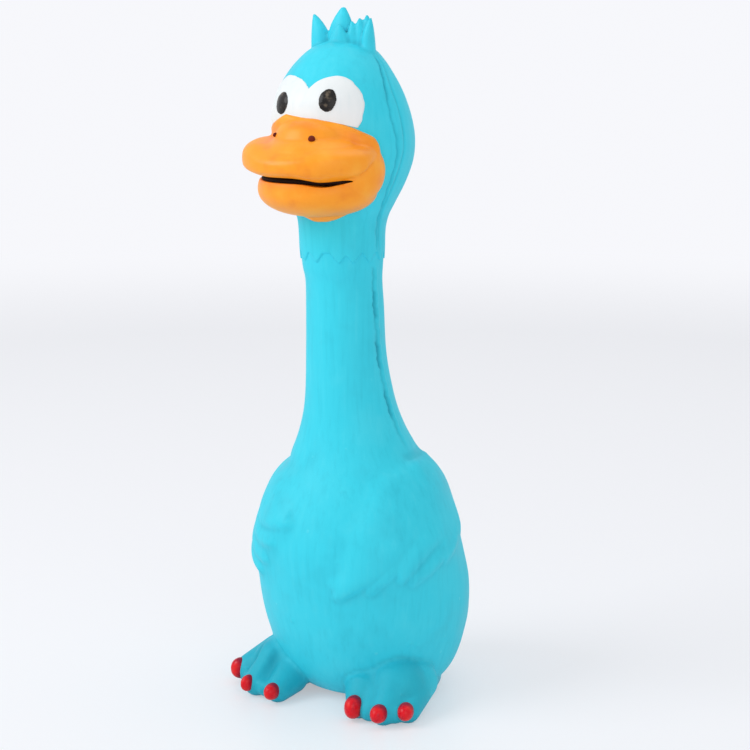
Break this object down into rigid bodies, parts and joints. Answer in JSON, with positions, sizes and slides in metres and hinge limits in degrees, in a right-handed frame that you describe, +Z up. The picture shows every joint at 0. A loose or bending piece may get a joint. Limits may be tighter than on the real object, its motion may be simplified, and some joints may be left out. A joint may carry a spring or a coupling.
{
  "type": "squeaky dog toy",
  "caption": "Upright long-necked bird of soft latex for a dog, stuffed with fibre, with a bellows squeaker in the belly, webbed feet, a wide bill and a feather crest.",
  "frame": {"origin": "on the floor, at the middle of the toy's footprint", "axes": "+Z up, the bird faces -Y, its left side is +X"},
  "size_m": [0.062, 0.0691, 0.183],
  "materials": {
    "latex_blue": "satin",
    "latex_orange": "satin",
    "latex_white": "satin",
    "latex_black": "satin",
    "latex_red": "gloss",
    "fibre_fill": "matte",
    "vinyl": "satin",
    "hard_plastic": "gloss",
    "reed_film": "gloss"
  },
  "bodies": {
    "body": {"body_skin": "latex_blue", "foot_left": "latex_blue", "nail_left_inner": "latex_red", "nail_left_middle": "latex_red", "nail_left_outer": "latex_red", "foot_right": "latex_blue", "nail_right_inner": "latex_red", "nail_right_middle": "latex_red", "nail_right_outer": "latex_red", "base_plug": "latex_blue", "squeaker_plate": "hard_plastic", "squeaker_bellows": "vinyl", "reed_holder": "hard_plastic", "reed_clip": "hard_plastic", "body_fill": "fibre_fill"},
    "press": {"squeaker_top": "hard_plastic"},
    "tongue": {"reed": "reed_film"},
    "neck": {"neck_skin": "latex_blue", "neck_fill": "fibre_fill"},
    "head": {"head_skin": "latex_blue", "head_fill": "fibre_fill", "upper_bill": "latex_orange", "lower_bill": "latex_orange", "mouth_lining": "latex_black", "eye_patch": "latex_white", "pupil_left": "latex_black", "nostril_left": "latex_black", "pupil_right": "latex_black", "nostril_right": "latex_black"}
  },
  "joints": [
    {"name": "neck_bend", "type": "hinge", "parent": "body", "child": "neck", "pos_m": [0, -0.002, 0.088], "axis": [1, 0, 0], "range_deg": [-30, 30], "stiffness_Nm_per_rad": 0.25, "deforming": ["neck_skin", "neck_fill"]},
    {"name": "head_tilt", "type": "hinge", "parent": "neck", "child": "head", "pos_m": [0, -0.0043, 0.118], "axis": [0, 1, 0], "range_deg": [-25, 25], "stiffness_Nm_per_rad": 0.15, "deforming": ["neck_skin", "neck_fill"]},
    {"name": "squeeze_press", "type": "slide", "parent": "body", "child": "press", "axis": [0, 0, -1], "range_m": [0, 0.006], "stiffness_N_per_m": 600, "deforming": ["squeaker_bellows"]},
    {"name": "reed_flex", "type": "hinge", "parent": "body", "child": "tongue", "pos_m": [0, 0.0091, 0.0092], "axis": [1, 0, 0], "range_deg": [-5, 2], "stiffness_Nm_per_rad": 0.002}
  ]
}
